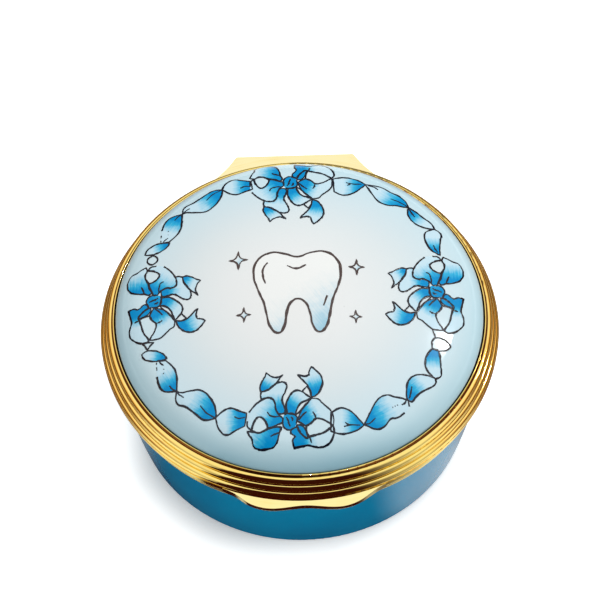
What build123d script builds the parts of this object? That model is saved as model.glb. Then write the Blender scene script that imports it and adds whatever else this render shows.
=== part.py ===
from build123d import *
from math import asin, atan2, cos, degrees, radians, sin, sqrt
import os

os.makedirs("parts", exist_ok=True)

# Round keepsake box, enamel on copper in gilt brass mounts, with a domed lid on a knuckle hinge.
# Millimetres, +Z up, front at -Y, hinge at +Y, origin under the middle of the bowl.

# Sizes of the whole box
mount_radius = 22.0
parting_height = 13.95
closing_gap = 0.05

# Copper pressings and the enamel coats fused on both their faces
outer_coat = 0.5
copper_thickness = 0.5
inner_coat = 0.4

# Bowl
wall_flare = 1.87
wall_bulge = 0.18
stack_drop = 0.85
foot_coat = 0.7
foot_corner = 0.5
copper_corner = 0.9
copper_inner_corner = 0.6
bowl_corner = 1.4
standing_ring_width = 2.8
underside_coat = 0.35

# Base mount
base_band_setback = 0.2
base_band_height = 0.45
base_band_step = 0.4
base_reed_radius = 0.34
base_reed_count = 3
base_flank_lean = 19.9
skirt_edge = 0.07

# Lid mount
flange_setback = 0.05
flange_height = 0.33
lid_reed_radius = 0.46
lid_reed_count = 3
lid_flank_lean = 23.4
lip_width = 0.22
lip_rise = 0.04
bead_height = 0.24
ledge_thickness = 0.35
ledge_reach = 1.2

# Closing collar
collar_height = 1.0
collar_wall = 0.5
collar_clearance = 0.15
collar_head_clearance = 0.2
collar_lead = 0.15
bore_step = 0.2

# Lid dome
dome_skirt = 0.49
crown_radius = 73.0
shoulder_radius = 4.0

# Thumb lip
lip_half_angle = 23.5
lip_reach = 1.1
lip_end = 0.06
lip_fall = 0.25
lip_drop = 0.6
lip_round = 0.2
lip_angle_shares = (1, 0.64, 0.45, 0)
lip_reach_shares = (0, 0.79, 1, 0.5)

# Hinge
hinge_reach = 0.32
lug_half_width = 6.7
lug_root_half_width = 11.2
lug_root_setback = 1.15
lug_tangent_setback = 0.15
lid_lug_height = 1.1
base_lug_depth = 1.4
lug_overhang = 1.0
lug_corner = 0.3
stop_angle = 97
knuckle_radius = 0.65
knuckle_count = 5
knuckle_gap = 0.1
barrel_clearance = 0.1
pin_radius = 0.35
pin_clearance = 0.05
pin_head = 0.12


def along(start, lean, length):
    """Point reached from start by going up a flank that leans out by an angle in degrees."""
    return (start[0] + length * sin(radians(lean)), start[1] + length * cos(radians(lean)))


def draw_reeds(start, lean, radius, count):
    """Draw half-round reeds side by side up a flank, each bulging outwards."""
    for number in range(count):
        foot = along(start, lean, 2 * radius * number)
        middle = along(start, lean, 2 * radius * (number + 0.5))
        crest = along(middle, lean + 90, radius)
        head = along(start, lean, 2 * radius * (number + 1))
        ThreePointArc(foot, crest, head)


# Levels and radii that follow from the driving sizes
base_band_radius = mount_radius - base_band_setback
base_flank_length = 2 * base_reed_radius * base_reed_count
base_flank_head = (base_band_radius - base_band_step, parting_height - base_band_height)
base_flank_foot = along(base_flank_head, base_flank_lean, -base_flank_length)
seat_radius = base_flank_foot[0] - skirt_edge
skirt_height = base_flank_foot[1]
stack_top = parting_height - stack_drop
foot_radius = seat_radius - wall_flare
lid_underside = parting_height + closing_gap
flange_radius = mount_radius - flange_setback
flange_top = parting_height + flange_height
lid_flank_length = 2 * lid_reed_radius * lid_reed_count
lid_flank_foot = (mount_radius - lid_reed_radius * (1 - sin(radians(lid_flank_lean))), flange_top)
lid_flank_head = along(lid_flank_foot, -lid_flank_lean, lid_flank_length)
dome_radius = lid_flank_head[0] - lip_width
bore_radius = dome_radius - bore_step
collar_radius = bore_radius - collar_clearance
collar_top = parting_height + collar_height
ledge_height = collar_top + collar_head_clearance
dome_seat = ledge_height + ledge_thickness
spring_height = dome_seat + dome_skirt
shoulder_centre = (dome_radius - shoulder_radius, spring_height)
centre_distance = crown_radius - shoulder_radius
crown_centre_drop = sqrt(centre_distance ** 2 - shoulder_centre[0] ** 2)
crown_centre = (0, spring_height - crown_centre_drop)
crown_tilt = degrees(atan2(crown_centre_drop, shoulder_centre[0]))
lip_angle = degrees(asin((lid_flank_head[1] + lip_rise - spring_height) / shoulder_radius))
hinge_line = mount_radius + hinge_reach
lug_back = hinge_line + lug_overhang
lean_past_upright = radians(stop_angle - 90)
stop_setback = lug_overhang * sin(lean_past_upright) - closing_gap * cos(lean_past_upright)
barrel_length = 2 * lug_half_width
knuckle_pitch = (barrel_length + knuckle_gap) / knuckle_count
knuckle_length = knuckle_pitch - knuckle_gap


def bowl_body(inset, floor, corner):
    """Solid inside one face of the bowl's wall, from a floor height up to the top of the wall."""
    flare_share = floor / skirt_height
    foot = (foot_radius + wall_flare * flare_share - inset, floor)
    waist = (seat_radius - inset, skirt_height)
    rim = (seat_radius - inset, stack_top)
    with BuildPart() as body:
        with BuildSketch(Plane.XZ) as outline:
            with BuildLine():
                Line((0, floor), foot)
                SagittaArc(foot, waist, -wall_bulge)
                Polyline(waist, rim, (0, stack_top), (0, floor))
            make_face()
            fillet(outline.vertices().group_by(Axis.Y)[0].sort_by(Axis.X)[-1], radius=corner)
        revolve(axis=Axis.Z)
    return body.part


def dome_body(inset):
    """Solid under one face of the lid's dome: flat crown, round shoulder and short skirt."""
    edge = dome_radius - inset
    with BuildPart() as body:
        with BuildSketch(Plane.XZ):
            with BuildLine():
                CenterArc(crown_centre, crown_radius - inset, crown_tilt, 90 - crown_tilt)
                CenterArc(shoulder_centre, shoulder_radius - inset, 0, crown_tilt)
                crown_top = (0, crown_centre[1] + crown_radius - inset)
                Polyline((edge, spring_height), (edge, dome_seat), (0, dome_seat), crown_top)
            make_face()
        revolve(axis=Axis.Z)
    return body.part


# Bowl: copper cup with a coloured coat outside, a white lining inside and a white coat below
copper_face = bowl_body(outer_coat, foot_coat, copper_corner)
lining_face = bowl_body(
    outer_coat + copper_thickness, foot_coat + copper_thickness, copper_inner_corner
)
bowl_space = bowl_body(
    outer_coat + copper_thickness + inner_coat,
    foot_coat + copper_thickness + inner_coat,
    bowl_corner,
)
underside_radius = foot_radius - standing_ring_width

with BuildPart() as base_outer_enamel:
    add(bowl_body(0, 0, foot_corner))
    add(copper_face, mode=Mode.SUBTRACT)
    with BuildSketch(Plane.XY):
        Circle(underside_radius)
    extrude(amount=foot_coat, mode=Mode.SUBTRACT)

with BuildPart() as base_underside_enamel:
    with BuildSketch(Plane.XY.offset(foot_coat - underside_coat)):
        Circle(underside_radius)
    extrude(amount=underside_coat)

with BuildPart() as base_copper_cup:
    add(copper_face)
    add(lining_face, mode=Mode.SUBTRACT)

with BuildPart() as base_inner_enamel:
    add(lining_face)
    add(bowl_space, mode=Mode.SUBTRACT)

# Lid dome: copper pressing with a coat on each face
copper_dome_face = dome_body(outer_coat)
lid_lining_face = dome_body(outer_coat + copper_thickness)

with BuildPart() as lid_outer_enamel:
    add(dome_body(0))
    add(copper_dome_face, mode=Mode.SUBTRACT)

with BuildPart() as lid_copper_dome:
    add(copper_dome_face)
    add(lid_lining_face, mode=Mode.SUBTRACT)

with BuildPart() as lid_inner_enamel:
    add(lid_lining_face)
    add(dome_body(outer_coat + copper_thickness + inner_coat), mode=Mode.SUBTRACT)

# Room for the hinge barrel, cut from both mounts
barrel_room_radius = knuckle_radius + barrel_clearance
with BuildPart() as barrel_room:
    with BuildSketch(Plane.YZ.offset(-lug_root_half_width)):
        with Locations((hinge_line, parting_height)):
            Circle(barrel_room_radius)
    extrude(amount=2 * lug_root_half_width)

# Base mount: plain band on top of three reeds that step in to the bowl
with BuildPart() as base_mount_ring:
    with BuildSketch(Plane.XZ):
        with BuildLine():
            draw_reeds(base_flank_foot, base_flank_lean, base_reed_radius, base_reed_count)
            Polyline(
                base_flank_head,
                (base_band_radius, base_flank_head[1]),
                (base_band_radius, parting_height),
                (collar_radius, parting_height),
                (collar_radius, stack_top),
                (seat_radius, stack_top),
                (seat_radius, skirt_height),
                base_flank_foot,
            )
        make_face()
    revolve(axis=Axis.Z)
    add(barrel_room.part, mode=Mode.SUBTRACT)

# Closing collar: stands on the edge of the bowl and centres the lid
with BuildPart() as closing_collar:
    with BuildSketch(Plane.XY.offset(stack_top)):
        Circle(collar_radius)
        Circle(collar_radius - collar_wall, mode=Mode.SUBTRACT)
    extrude(amount=collar_top - stack_top)
    rim_edges = closing_collar.edges().group_by(Axis.Z)[-1].sort_by(SortBy.RADIUS)
    chamfer(rim_edges[-1], length=collar_lead)

# Lid mount: flange, three reeds and a bead outside; bore, ledge and dome seat inside
with BuildPart() as lid_mount_ring:
    with BuildSketch(Plane.XZ):
        with BuildLine():
            draw_reeds(lid_flank_foot, -lid_flank_lean, lid_reed_radius, lid_reed_count)
            lip_arc = CenterArc(shoulder_centre, shoulder_radius, 0, lip_angle)
            lip_point = lip_arc @ 1
            bead_top = (
                (lid_flank_head[0] + lip_point.X) / 2,
                max(lid_flank_head[1], lip_point.Y) + bead_height,
            )
            ThreePointArc(lid_flank_head, bead_top, lip_point)
            Polyline(
                (dome_radius, spring_height),
                (dome_radius, dome_seat),
                (dome_radius - ledge_reach, dome_seat),
                (dome_radius - ledge_reach, ledge_height),
                (bore_radius, ledge_height),
                (bore_radius, lid_underside),
                (flange_radius, lid_underside),
                (flange_radius, flange_top),
                lid_flank_foot,
            )
        make_face()
    revolve(axis=Axis.Z)
    add(barrel_room.part, mode=Mode.SUBTRACT)

# Thumb lip: a cupid's bow that grows out of the flange, falls outwards and hangs before the base mount
lip_points = []
for angle_share, reach_share in zip(lip_angle_shares, lip_reach_shares):
    turn = radians(lip_half_angle * angle_share)
    reach = flange_radius + lip_end + (lip_reach - lip_end) * reach_share
    lip_points.append((reach * sin(turn), -reach * cos(turn)))
for point in reversed(lip_points[:-1]):
    lip_points.append((-point[0], point[1]))
end_turn = radians(lip_half_angle)

with BuildPart() as thumb_lip:
    with BuildSketch(Plane.XY.offset(parting_height - lip_drop)):
        with BuildLine():
            bow = Spline(
                lip_points,
                tangents=((-cos(end_turn), -sin(end_turn)), (-cos(end_turn), sin(end_turn))),
            )
            right_root = (flange_radius * sin(end_turn), -flange_radius * cos(end_turn))
            left_root = (-right_root[0], right_root[1])
            Line(right_root, bow @ 0)
            Line(bow @ 1, left_root)
            CenterArc((0, 0), flange_radius, -90 - lip_half_angle, 2 * lip_half_angle)
        make_face()
    extrude(amount=flange_top - parting_height + lip_drop)
    nose_edge = thumb_lip.edges().group_by(Axis.Z)[0].filter_by(GeomType.BSPLINE)
    fillet(nose_edge, radius=lip_round)
    with BuildSketch(Plane.XZ):
        with BuildLine():
            Polyline(
                (flange_radius, flange_top),
                (flange_radius + 2 * lip_reach, flange_top - 2 * lip_fall),
                (flange_radius + 2 * lip_reach, flange_top + lip_fall),
                (flange_radius, flange_top + lip_fall),
                close=True,
            )
        make_face()
    revolve(axis=Axis.Z, mode=Mode.SUBTRACT)


def draw_lug():
    """Draw a lug's plan: straight back edge, flared sides that run into the round mount."""
    tangent_radius = mount_radius - lug_tangent_setback
    root_turn = asin(lug_root_half_width / tangent_radius)
    root_radius = mount_radius - lug_root_setback
    for side in (1, -1):
        root = (side * lug_root_half_width, tangent_radius * cos(root_turn))
        inner = (side * root_radius * sin(root_turn), root_radius * cos(root_turn))
        heading = (-side * cos(root_turn), sin(root_turn))
        corner = (side * lug_half_width, lug_back)
        Line(inner, root)
        TangentArc(root, corner, tangent=heading)
    Line((lug_half_width, lug_back), (-lug_half_width, lug_back))
    start = 90 - degrees(root_turn)
    CenterArc((0, 0), root_radius, start, 2 * degrees(root_turn))


def knuckle_start(number):
    """Left end of a knuckle, counted from the left."""
    return -lug_half_width + number * knuckle_pitch


def barrel_seats(own_numbers):
    """Groove of one lug: a soldered seat right across it, with room round the other knuckles."""
    with BuildPart() as seats:
        with BuildSketch(Plane.YZ.offset(-lug_root_half_width)):
            with Locations((hinge_line, parting_height)):
                Circle(knuckle_radius)
        extrude(amount=2 * lug_root_half_width)
        for number in range(knuckle_count):
            if number not in own_numbers:
                with BuildSketch(Plane.YZ.offset(knuckle_start(number) - knuckle_gap)):
                    with Locations((hinge_line, parting_height)):
                        Circle(barrel_room_radius)
                extrude(amount=knuckle_length + 2 * knuckle_gap)
    return seats.part


base_numbers = (0, 2, 4)
lid_numbers = (1, 3)

with BuildPart() as lid_hinge_lug:
    with BuildSketch(Plane.XY.offset(lid_underside)) as lid_lug_plan:
        with BuildLine():
            draw_lug()
        make_face()
        fillet(lid_lug_plan.vertices().group_by(Axis.Y)[-1], radius=lug_corner)
    extrude(amount=parting_height + lid_lug_height - lid_underside)
    add(lid_mount_ring.part, mode=Mode.SUBTRACT)
    add(barrel_seats(lid_numbers), mode=Mode.SUBTRACT)

with BuildPart() as base_hinge_lug:
    with BuildSketch(Plane.XY.offset(parting_height - base_lug_depth)):
        with BuildLine():
            draw_lug()
        make_face()
    extrude(amount=base_lug_depth)
    split(bisect_by=Plane.XZ.offset(-hinge_line + stop_setback), keep=Keep.TOP)
    add(base_mount_ring.part, mode=Mode.SUBTRACT)
    add(barrel_seats(base_numbers), mode=Mode.SUBTRACT)


def knuckle(number, hole_radius):
    """One hinge tube."""
    with BuildPart() as tube:
        with BuildSketch(Plane.YZ.offset(knuckle_start(number))):
            with Locations((hinge_line, parting_height)):
                Circle(knuckle_radius)
                Circle(hole_radius, mode=Mode.SUBTRACT)
        extrude(amount=knuckle_length)
    return tube


base_knuckle_left = knuckle(0, pin_radius)
lid_knuckle_left = knuckle(1, pin_radius + pin_clearance)
base_knuckle_middle = knuckle(2, pin_radius)
lid_knuckle_right = knuckle(3, pin_radius + pin_clearance)
base_knuckle_right = knuckle(4, pin_radius)

# Hinge pin, with ends just proud of the barrel
with BuildPart() as hinge_pin:
    with BuildSketch(Plane.YZ.offset(-lug_half_width - pin_head)):
        with Locations((hinge_line, parting_height)):
            Circle(pin_radius)
    extrude(amount=barrel_length + 2 * pin_head)
    chamfer(hinge_pin.edges().filter_by(GeomType.CIRCLE), length=pin_head / 2)

base_copper_cup.part.label = "base_copper_cup"
export_step(base_copper_cup.part, "parts/base_copper_cup.step")
base_outer_enamel.part.label = "base_outer_enamel"
export_step(base_outer_enamel.part, "parts/base_outer_enamel.step")
base_inner_enamel.part.label = "base_inner_enamel"
export_step(base_inner_enamel.part, "parts/base_inner_enamel.step")
base_underside_enamel.part.label = "base_underside_enamel"
export_step(base_underside_enamel.part, "parts/base_underside_enamel.step")
base_mount_ring.part.label = "base_mount_ring"
export_step(base_mount_ring.part, "parts/base_mount_ring.step")
closing_collar.part.label = "closing_collar"
export_step(closing_collar.part, "parts/closing_collar.step")
base_hinge_lug.part.label = "base_hinge_lug"
export_step(base_hinge_lug.part, "parts/base_hinge_lug.step")
base_knuckle_left.part.label = "base_knuckle_left"
export_step(base_knuckle_left.part, "parts/base_knuckle_left.step")
base_knuckle_middle.part.label = "base_knuckle_middle"
export_step(base_knuckle_middle.part, "parts/base_knuckle_middle.step")
base_knuckle_right.part.label = "base_knuckle_right"
export_step(base_knuckle_right.part, "parts/base_knuckle_right.step")
hinge_pin.part.label = "hinge_pin"
export_step(hinge_pin.part, "parts/hinge_pin.step")
lid_copper_dome.part.label = "lid_copper_dome"
export_step(lid_copper_dome.part, "parts/lid_copper_dome.step")
lid_outer_enamel.part.label = "lid_outer_enamel"
export_step(lid_outer_enamel.part, "parts/lid_outer_enamel.step")
lid_inner_enamel.part.label = "lid_inner_enamel"
export_step(lid_inner_enamel.part, "parts/lid_inner_enamel.step")
lid_mount_ring.part.label = "lid_mount_ring"
export_step(lid_mount_ring.part, "parts/lid_mount_ring.step")
thumb_lip.part.label = "thumb_lip"
export_step(thumb_lip.part, "parts/thumb_lip.step")
lid_hinge_lug.part.label = "lid_hinge_lug"
export_step(lid_hinge_lug.part, "parts/lid_hinge_lug.step")
lid_knuckle_left.part.label = "lid_knuckle_left"
export_step(lid_knuckle_left.part, "parts/lid_knuckle_left.step")
lid_knuckle_right.part.label = "lid_knuckle_right"
export_step(lid_knuckle_right.part, "parts/lid_knuckle_right.step")
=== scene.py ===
"""Looks of a round enamelled keepsake box with gilt mounts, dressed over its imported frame."""

import logging
import math
import random
from collections.abc import Iterator, Sequence
from contextlib import contextmanager
from dataclasses import dataclass, field, replace
from enum import Enum

import bpy
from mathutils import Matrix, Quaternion, Vector


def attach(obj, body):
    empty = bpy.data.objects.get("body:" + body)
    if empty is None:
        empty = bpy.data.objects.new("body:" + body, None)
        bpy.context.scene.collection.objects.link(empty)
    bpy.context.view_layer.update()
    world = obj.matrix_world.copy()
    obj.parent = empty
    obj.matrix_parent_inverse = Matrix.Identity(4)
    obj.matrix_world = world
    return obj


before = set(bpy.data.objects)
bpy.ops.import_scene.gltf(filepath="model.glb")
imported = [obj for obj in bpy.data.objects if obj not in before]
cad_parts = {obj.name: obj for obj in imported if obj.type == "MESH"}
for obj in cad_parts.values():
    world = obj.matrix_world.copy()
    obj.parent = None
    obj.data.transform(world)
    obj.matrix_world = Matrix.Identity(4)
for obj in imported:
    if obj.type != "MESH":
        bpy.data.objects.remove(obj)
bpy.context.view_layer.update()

MM = 0.001
TINY = 0.001 * MM
Spot = tuple[float, float]
Colour = tuple[float, float, float, float]
Piece = bpy.types.Object
Node = bpy.types.Node
Socket = bpy.types.NodeSocket
Tree = bpy.types.NodeTree
MIXED: dict[str, bpy.types.Material] = {}
log = logging.getLogger("tooth_box")


def paint(red: float, green: float, blue: float) -> Colour:
    """Gives the linear colour of a tone written as it should look.

    Args:
        red: red from 0 to 255.
        green: green from 0 to 255.
        blue: blue from 0 to 255.

    Returns:
        The colour as four linear values.
    """

    def straight(value: float) -> float:
        """Undoes the screen's curve for one channel."""
        share = value / 255.0
        return share / 12.92 if share <= 0.04045 else ((share + 0.055) / 1.055) ** 2.4

    return (straight(red), straight(green), straight(blue), 1.0)


class Wire:
    """One output of a shader node, with the arithmetic that adds Math nodes."""

    def __init__(self, sheet: "ShaderSheet", socket: Socket) -> None:
        """Keeps the sheet that the output belongs to."""
        self.sheet = sheet
        self.socket = socket

    def __add__(self, other: "Wire | float") -> "Wire":
        """Adds."""
        return self.sheet.maths("ADD", self, other)

    def __radd__(self, other: float) -> "Wire":
        """Adds to a number."""
        return self.sheet.maths("ADD", other, self)

    def __sub__(self, other: "Wire | float") -> "Wire":
        """Takes away."""
        return self.sheet.maths("SUBTRACT", self, other)

    def __rsub__(self, other: float) -> "Wire":
        """Takes away from a number."""
        return self.sheet.maths("SUBTRACT", other, self)

    def __mul__(self, other: "Wire | float") -> "Wire":
        """Multiplies."""
        return self.sheet.maths("MULTIPLY", self, other)

    def __rmul__(self, other: float) -> "Wire":
        """Multiplies a number."""
        return self.sheet.maths("MULTIPLY", other, self)

    def __truediv__(self, other: "Wire | float") -> "Wire":
        """Divides."""
        return self.sheet.maths("DIVIDE", self, other)


class ShaderSheet:
    """The node tree of one finish, of the floor or of the surrounding light."""

    def __init__(self, tree: Tree) -> None:
        """Clears the tree, so that every node in it is one that the finish asks for."""
        self.tree = tree
        self.tree.nodes.clear()

    def node(
        self,
        kind: str,
        settings: dict[str, object] | None = None,
        sockets: dict[str | int, object] | None = None,
    ) -> Node:
        """Adds one node.

        Args:
            kind: the node's type.
            settings: its settings by name; stops holds a ramp's places and colours.
            sockets: values, wires or outputs for its input sockets, by name or number.

        Returns:
            The new node.
        """
        made = self.tree.nodes.new(kind)
        for name, value in (settings or {}).items():
            if name == "stops":
                self.set_stops(made, value)
            else:
                setattr(made, name, value)
        for name, value in (sockets or {}).items():
            self.feed(made.inputs[name], value)
        return made

    def set_stops(self, ramp: Node, stops: Sequence[tuple[float, Colour]]) -> None:
        """Gives a colour ramp its stops.

        Args:
            ramp: the ramp node.
            stops: each stop's place and colour, in rising order.
        """
        elements = ramp.color_ramp.elements
        elements.remove(elements[1])
        elements[0].position = stops[0][0]
        elements[0].color = stops[0][1]
        for place, colour in stops[1:]:
            elements.new(place).color = colour

    def feed(self, socket: Socket, value: object) -> None:
        """Links or sets one input socket.

        Args:
            socket: the input.
            value: a wire, an output socket, or a plain value.
        """
        if isinstance(value, Wire):
            self.tree.links.new(value.socket, socket)
        elif isinstance(value, Socket):
            self.tree.links.new(value, socket)
        else:
            socket.default_value = value

    def wire(self, made: Node, output: str | int = 0) -> Wire:
        """Wraps one output of a node."""
        return Wire(self, made.outputs[output])

    def maths(self, operation: str, *values: Wire | float) -> Wire:
        """Adds a Math node and gives its output."""
        sockets = dict(enumerate(values))
        return self.wire(self.node("ShaderNodeMath", {"operation": operation}, sockets))

    def smooth(self, value: Wire, low: float, high: float) -> Wire:
        """Rises softly from 0 to 1 while a value goes from low to high."""
        sockets = {"Value": value, "From Min": low, "From Max": high}
        return self.wire(self.node("ShaderNodeMapRange", {"interpolation_type": "SMOOTHSTEP"}, sockets))

    def sink(self, value: Wire, low: float, high: float) -> Wire:
        """Sinks softly from 1 to 0 while a value goes from low to high."""
        return 1.0 - self.smooth(value, low, high)

    def between(self, value: Wire, rise: Spot, fall: Spot) -> Wire:
        """Gives 1 between two soft edges and 0 outside; each edge has its start and its end."""
        return self.smooth(value, *rise) * self.sink(value, *fall)

    def blend(self, share: Wire | float, first: object, second: object) -> Wire:
        """Mixes two colours, by how much of the second shows."""
        made = self.node("ShaderNodeMix", {"data_type": "RGBA"}, {0: share, 6: first, 7: second})
        return self.wire(made, 2)

    def mixed(self, share: Wire, first: Node, second: Node) -> Node:
        """Mixes two shaders, by how much of the second shows."""
        sockets = {0: share, 1: first.outputs[0], 2: second.outputs[0]}
        return self.node("ShaderNodeMixShader", None, sockets)

    def bump(self, height: Wire, strength: float, distance: float) -> Socket:
        """Turns a height into a bump for the Normal socket."""
        sockets = {"Strength": strength, "Distance": distance, "Height": height}
        return self.node("ShaderNodeBump", None, sockets).outputs[0]

    def place(self) -> Wire:
        """Gives the place on the piece, in metres, from Object coordinates."""
        return self.wire(self.node("ShaderNodeTexCoord"), "Object")

    def split(self, vector: Wire) -> tuple[Wire, Wire, Wire]:
        """Takes a vector apart into its three numbers."""
        made = self.node("ShaderNodeSeparateXYZ", None, {0: vector})
        return self.wire(made, 0), self.wire(made, 1), self.wire(made, 2)

    def join(self, x: Wire | float, y: Wire | float, z: Wire | float) -> Wire:
        """Puts three numbers together as a vector."""
        return self.wire(self.node("ShaderNodeCombineXYZ", None, {0: x, 1: y, 2: z}))

    def reach(self, x: Wire, y: Wire) -> Wire:
        """Gives the distance from the middle axis."""
        return self.maths("SQRT", x * x + y * y)

    def noise(self, vector: Wire, scale: float, detail: float = 2.0, roughness: float = 0.5) -> Wire:
        """Adds a pattern of about 0 to 1, with scale cells to a metre and detail octaves."""
        sockets = {"Vector": vector, "Scale": scale, "Detail": detail, "Roughness": roughness}
        return self.wire(self.node("ShaderNodeTexNoise", None, sockets))


@dataclass(frozen=True)
class Finish:
    """What every finish has: a name, and how it turns into a material."""

    name: str

    def material(self) -> bpy.types.Material:
        """Gives the finish's material, made once.

        Returns:
            The material.
        """
        ready = MIXED.get(self.name)
        if ready is not None:
            return ready
        made = bpy.data.materials.new(f"{self.name}_finish")
        MIXED[self.name] = made
        made.use_nodes = True
        sheet = ShaderSheet(made.node_tree)
        shader = self.mix_shader(sheet)
        sheet.node("ShaderNodeOutputMaterial", None, {"Surface": shader.outputs[0]})
        return made

    def mix_shader(self, sheet: ShaderSheet) -> Node:
        """Lays the nodes of the finish on a sheet and gives its shader."""
        raise NotImplementedError

    def dress(self, piece: Piece) -> None:
        """Puts the finish on a whole piece."""
        piece.data.materials.clear()
        piece.data.materials.append(self.material())


@dataclass(frozen=True)
class GiltFinish(Finish):
    """Polished gilt metal with faint turning marks round the axis."""

    tone: Colour = paint(255, 228, 134)
    deep_tone: Colour = paint(240, 194, 88)
    gloss: float = 0.05
    streak: float = 0.05
    marks_round: float = 3.0
    marks_across: float = 9000.0
    marks_slope: Spot = (0.9, 0.5)
    marks_detail: Spot = (3.0, 0.6)
    cloud_cells: float = 420.0
    cloud_detail: Spot = (3.0, 0.55)
    wear_shares: Spot = (0.6, 0.4)
    worn_from: Spot = (0.42, 0.9)
    relief: float = 0.02 * MM
    relief_share: float = 0.05

    def colour(self, sheet: ShaderSheet, worn: Wire, radius: Wire, z: Wire) -> Wire:
        """Gives the metal its colour, by its wear from 0 to 1 and its place."""
        return sheet.blend(worn, self.tone, self.deep_tone)

    def mix_shader(self, sheet: ShaderSheet) -> Node:
        """Lays streaks that follow the turning, and a cloudier polish under them.

        Args:
            sheet: the material's tree.

        Returns:
            The shader.
        """
        spot = sheet.place()
        x, y, z = sheet.split(spot)
        radius = sheet.reach(x, y) + TINY
        turning = sheet.join(
            x / radius * self.marks_round,
            y / radius * self.marks_round,
            (z * self.marks_slope[0] + radius * self.marks_slope[1]) * self.marks_across,
        )
        marks = sheet.noise(turning, 1.0, *self.marks_detail)
        clouds = sheet.noise(spot, self.cloud_cells, *self.cloud_detail)
        wear = marks * self.wear_shares[0] + clouds * self.wear_shares[1]
        worn = sheet.smooth(wear, *self.worn_from)
        sockets = {
            "Base Color": self.colour(sheet, worn, radius, z),
            "Metallic": 1.0,
            "Roughness": self.gloss + worn * self.streak,
            "Normal": sheet.bump(marks, self.relief_share, self.relief),
        }
        return sheet.node("ShaderNodeBsdfPrincipled", None, sockets)


@dataclass(frozen=True)
class LidRingFinish(GiltFinish):
    """The lid mount's gilding, with painted shade darkening the groove under the bead and the edge where
    it grips the glass.
    """

    # painted shade: the dark brown laid in the groove under the bead and on the edge that grips the glass
    groove_shade_tone: Colour = paint(140, 88, 36)
    groove_shade: tuple[Spot, Spot] = ((20.47 * MM, 20.53 * MM), (20.68 * MM, 20.74 * MM))
    grip_shade: Spot = (20.36 * MM, 20.42 * MM)
    grip_shade_height: Spot = (16.6 * MM, 16.7 * MM)

    def colour(self, sheet: ShaderSheet, worn: Wire, radius: Wire, z: Wire) -> Wire:
        """Gives the gilding its colour, with painted shade darkening the groove and the edge that grips
        the glass.

        Args:
            sheet: the material's tree.
            worn: how worn the gilding is, from 0 to 1.
            radius: the distance from the box's axis.
            z: the height.

        Returns:
            The colour.
        """
        # painted shade: the groove and the edge at the glass turn dark brown where shadow falls
        groove_shade = sheet.between(radius, *self.groove_shade)
        grip_shade = sheet.sink(radius, *self.grip_shade) * sheet.smooth(z, *self.grip_shade_height)
        gilding = sheet.blend(worn, self.tone, self.deep_tone)
        return sheet.blend(sheet.maths("MAXIMUM", groove_shade, grip_shade), gilding, self.groove_shade_tone)


@dataclass(frozen=True)
class CopperFinish(Finish):
    """Pressed copper with a dull, slightly stained face."""

    tone: Colour = paint(208, 128, 92)
    stain: Colour = paint(150, 78, 52)
    stain_cells: float = 300.0
    stain_detail: Spot = (4.0, 0.6)
    stained_from: Spot = (0.4, 0.7)
    gloss: float = 0.28
    dulling: float = 0.2

    def mix_shader(self, sheet: ShaderSheet) -> Node:
        """Lays stains over the bare metal.

        Args:
            sheet: the material's tree.

        Returns:
            The shader.
        """
        clouds = sheet.noise(sheet.place(), self.stain_cells, *self.stain_detail)
        stained = sheet.smooth(clouds, *self.stained_from)
        sockets = {
            "Base Color": sheet.blend(stained, self.tone, self.stain),
            "Metallic": 1.0,
            "Roughness": self.gloss + stained * self.dulling,
        }
        return sheet.node("ShaderNodeBsdfPrincipled", None, sockets)


@dataclass(frozen=True)
class EnamelFinish(Finish):
    """Fired glass enamel: an even body colour, slight cloudiness, a few specks and a deep gloss."""

    tone: Colour = paint(240, 242, 238)
    cloud: Colour = paint(226, 231, 230)
    speck: Colour = paint(120, 120, 118)
    speckling: float = 0.35
    gloss: float = 0.12
    shine: float = 0.5
    shine_tint: Colour = paint(255, 255, 255)
    cloud_cells: float = 90.0
    cloud_detail: float = 3.0
    clouded_from: Spot = (0.35, 0.7)
    speck_cells: float = 700.0
    speck_size: Spot = (0.03, 0.08)
    speck_drift: float = 260.0
    speck_detail: float = 1.0
    speck_rarity: Spot = (0.66, 0.74)
    ripple_cells: float = 160.0
    ripple_blur: float = 0.05
    relief: float = 0.05 * MM
    relief_share: float = 0.12
    bending: float = 1.45

    def body_colour(self, sheet: ShaderSheet, spot: Wire) -> Wire:
        """Gives the glass its colour at a place, before the specks."""
        patchy = sheet.noise(spot, self.cloud_cells, self.cloud_detail)
        clouds = sheet.smooth(patchy, *self.clouded_from)
        return sheet.blend(clouds, self.tone, self.cloud)

    def mix_shader(self, sheet: ShaderSheet) -> Node:
        """Lays the body colour, the specks, the gloss and the soft ripple of fired glass.

        Args:
            sheet: the material's tree.

        Returns:
            The shader.
        """
        spot = sheet.place()
        places = {"Vector": spot, "Scale": self.speck_cells}
        cells = sheet.node("ShaderNodeTexVoronoi", {"feature": "F1"}, places)
        lots = sheet.noise(spot, self.speck_drift, self.speck_detail)
        rare = sheet.smooth(lots, *self.speck_rarity)
        specks = sheet.sink(sheet.wire(cells, "Distance"), *self.speck_size) * rare
        body = self.body_colour(sheet, spot)
        ripple = sheet.noise(spot, self.ripple_cells)
        sockets = {
            "Base Color": sheet.blend(specks * self.speckling, body, self.speck),
            "Roughness": self.gloss + ripple * self.ripple_blur,
            "IOR": self.bending,
            "Specular IOR Level": self.shine,
            "Specular Tint": self.shine_tint,
            "Normal": sheet.bump(ripple, self.relief_share, self.relief),
        }
        return sheet.node("ShaderNodeBsdfPrincipled", None, sockets)


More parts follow.
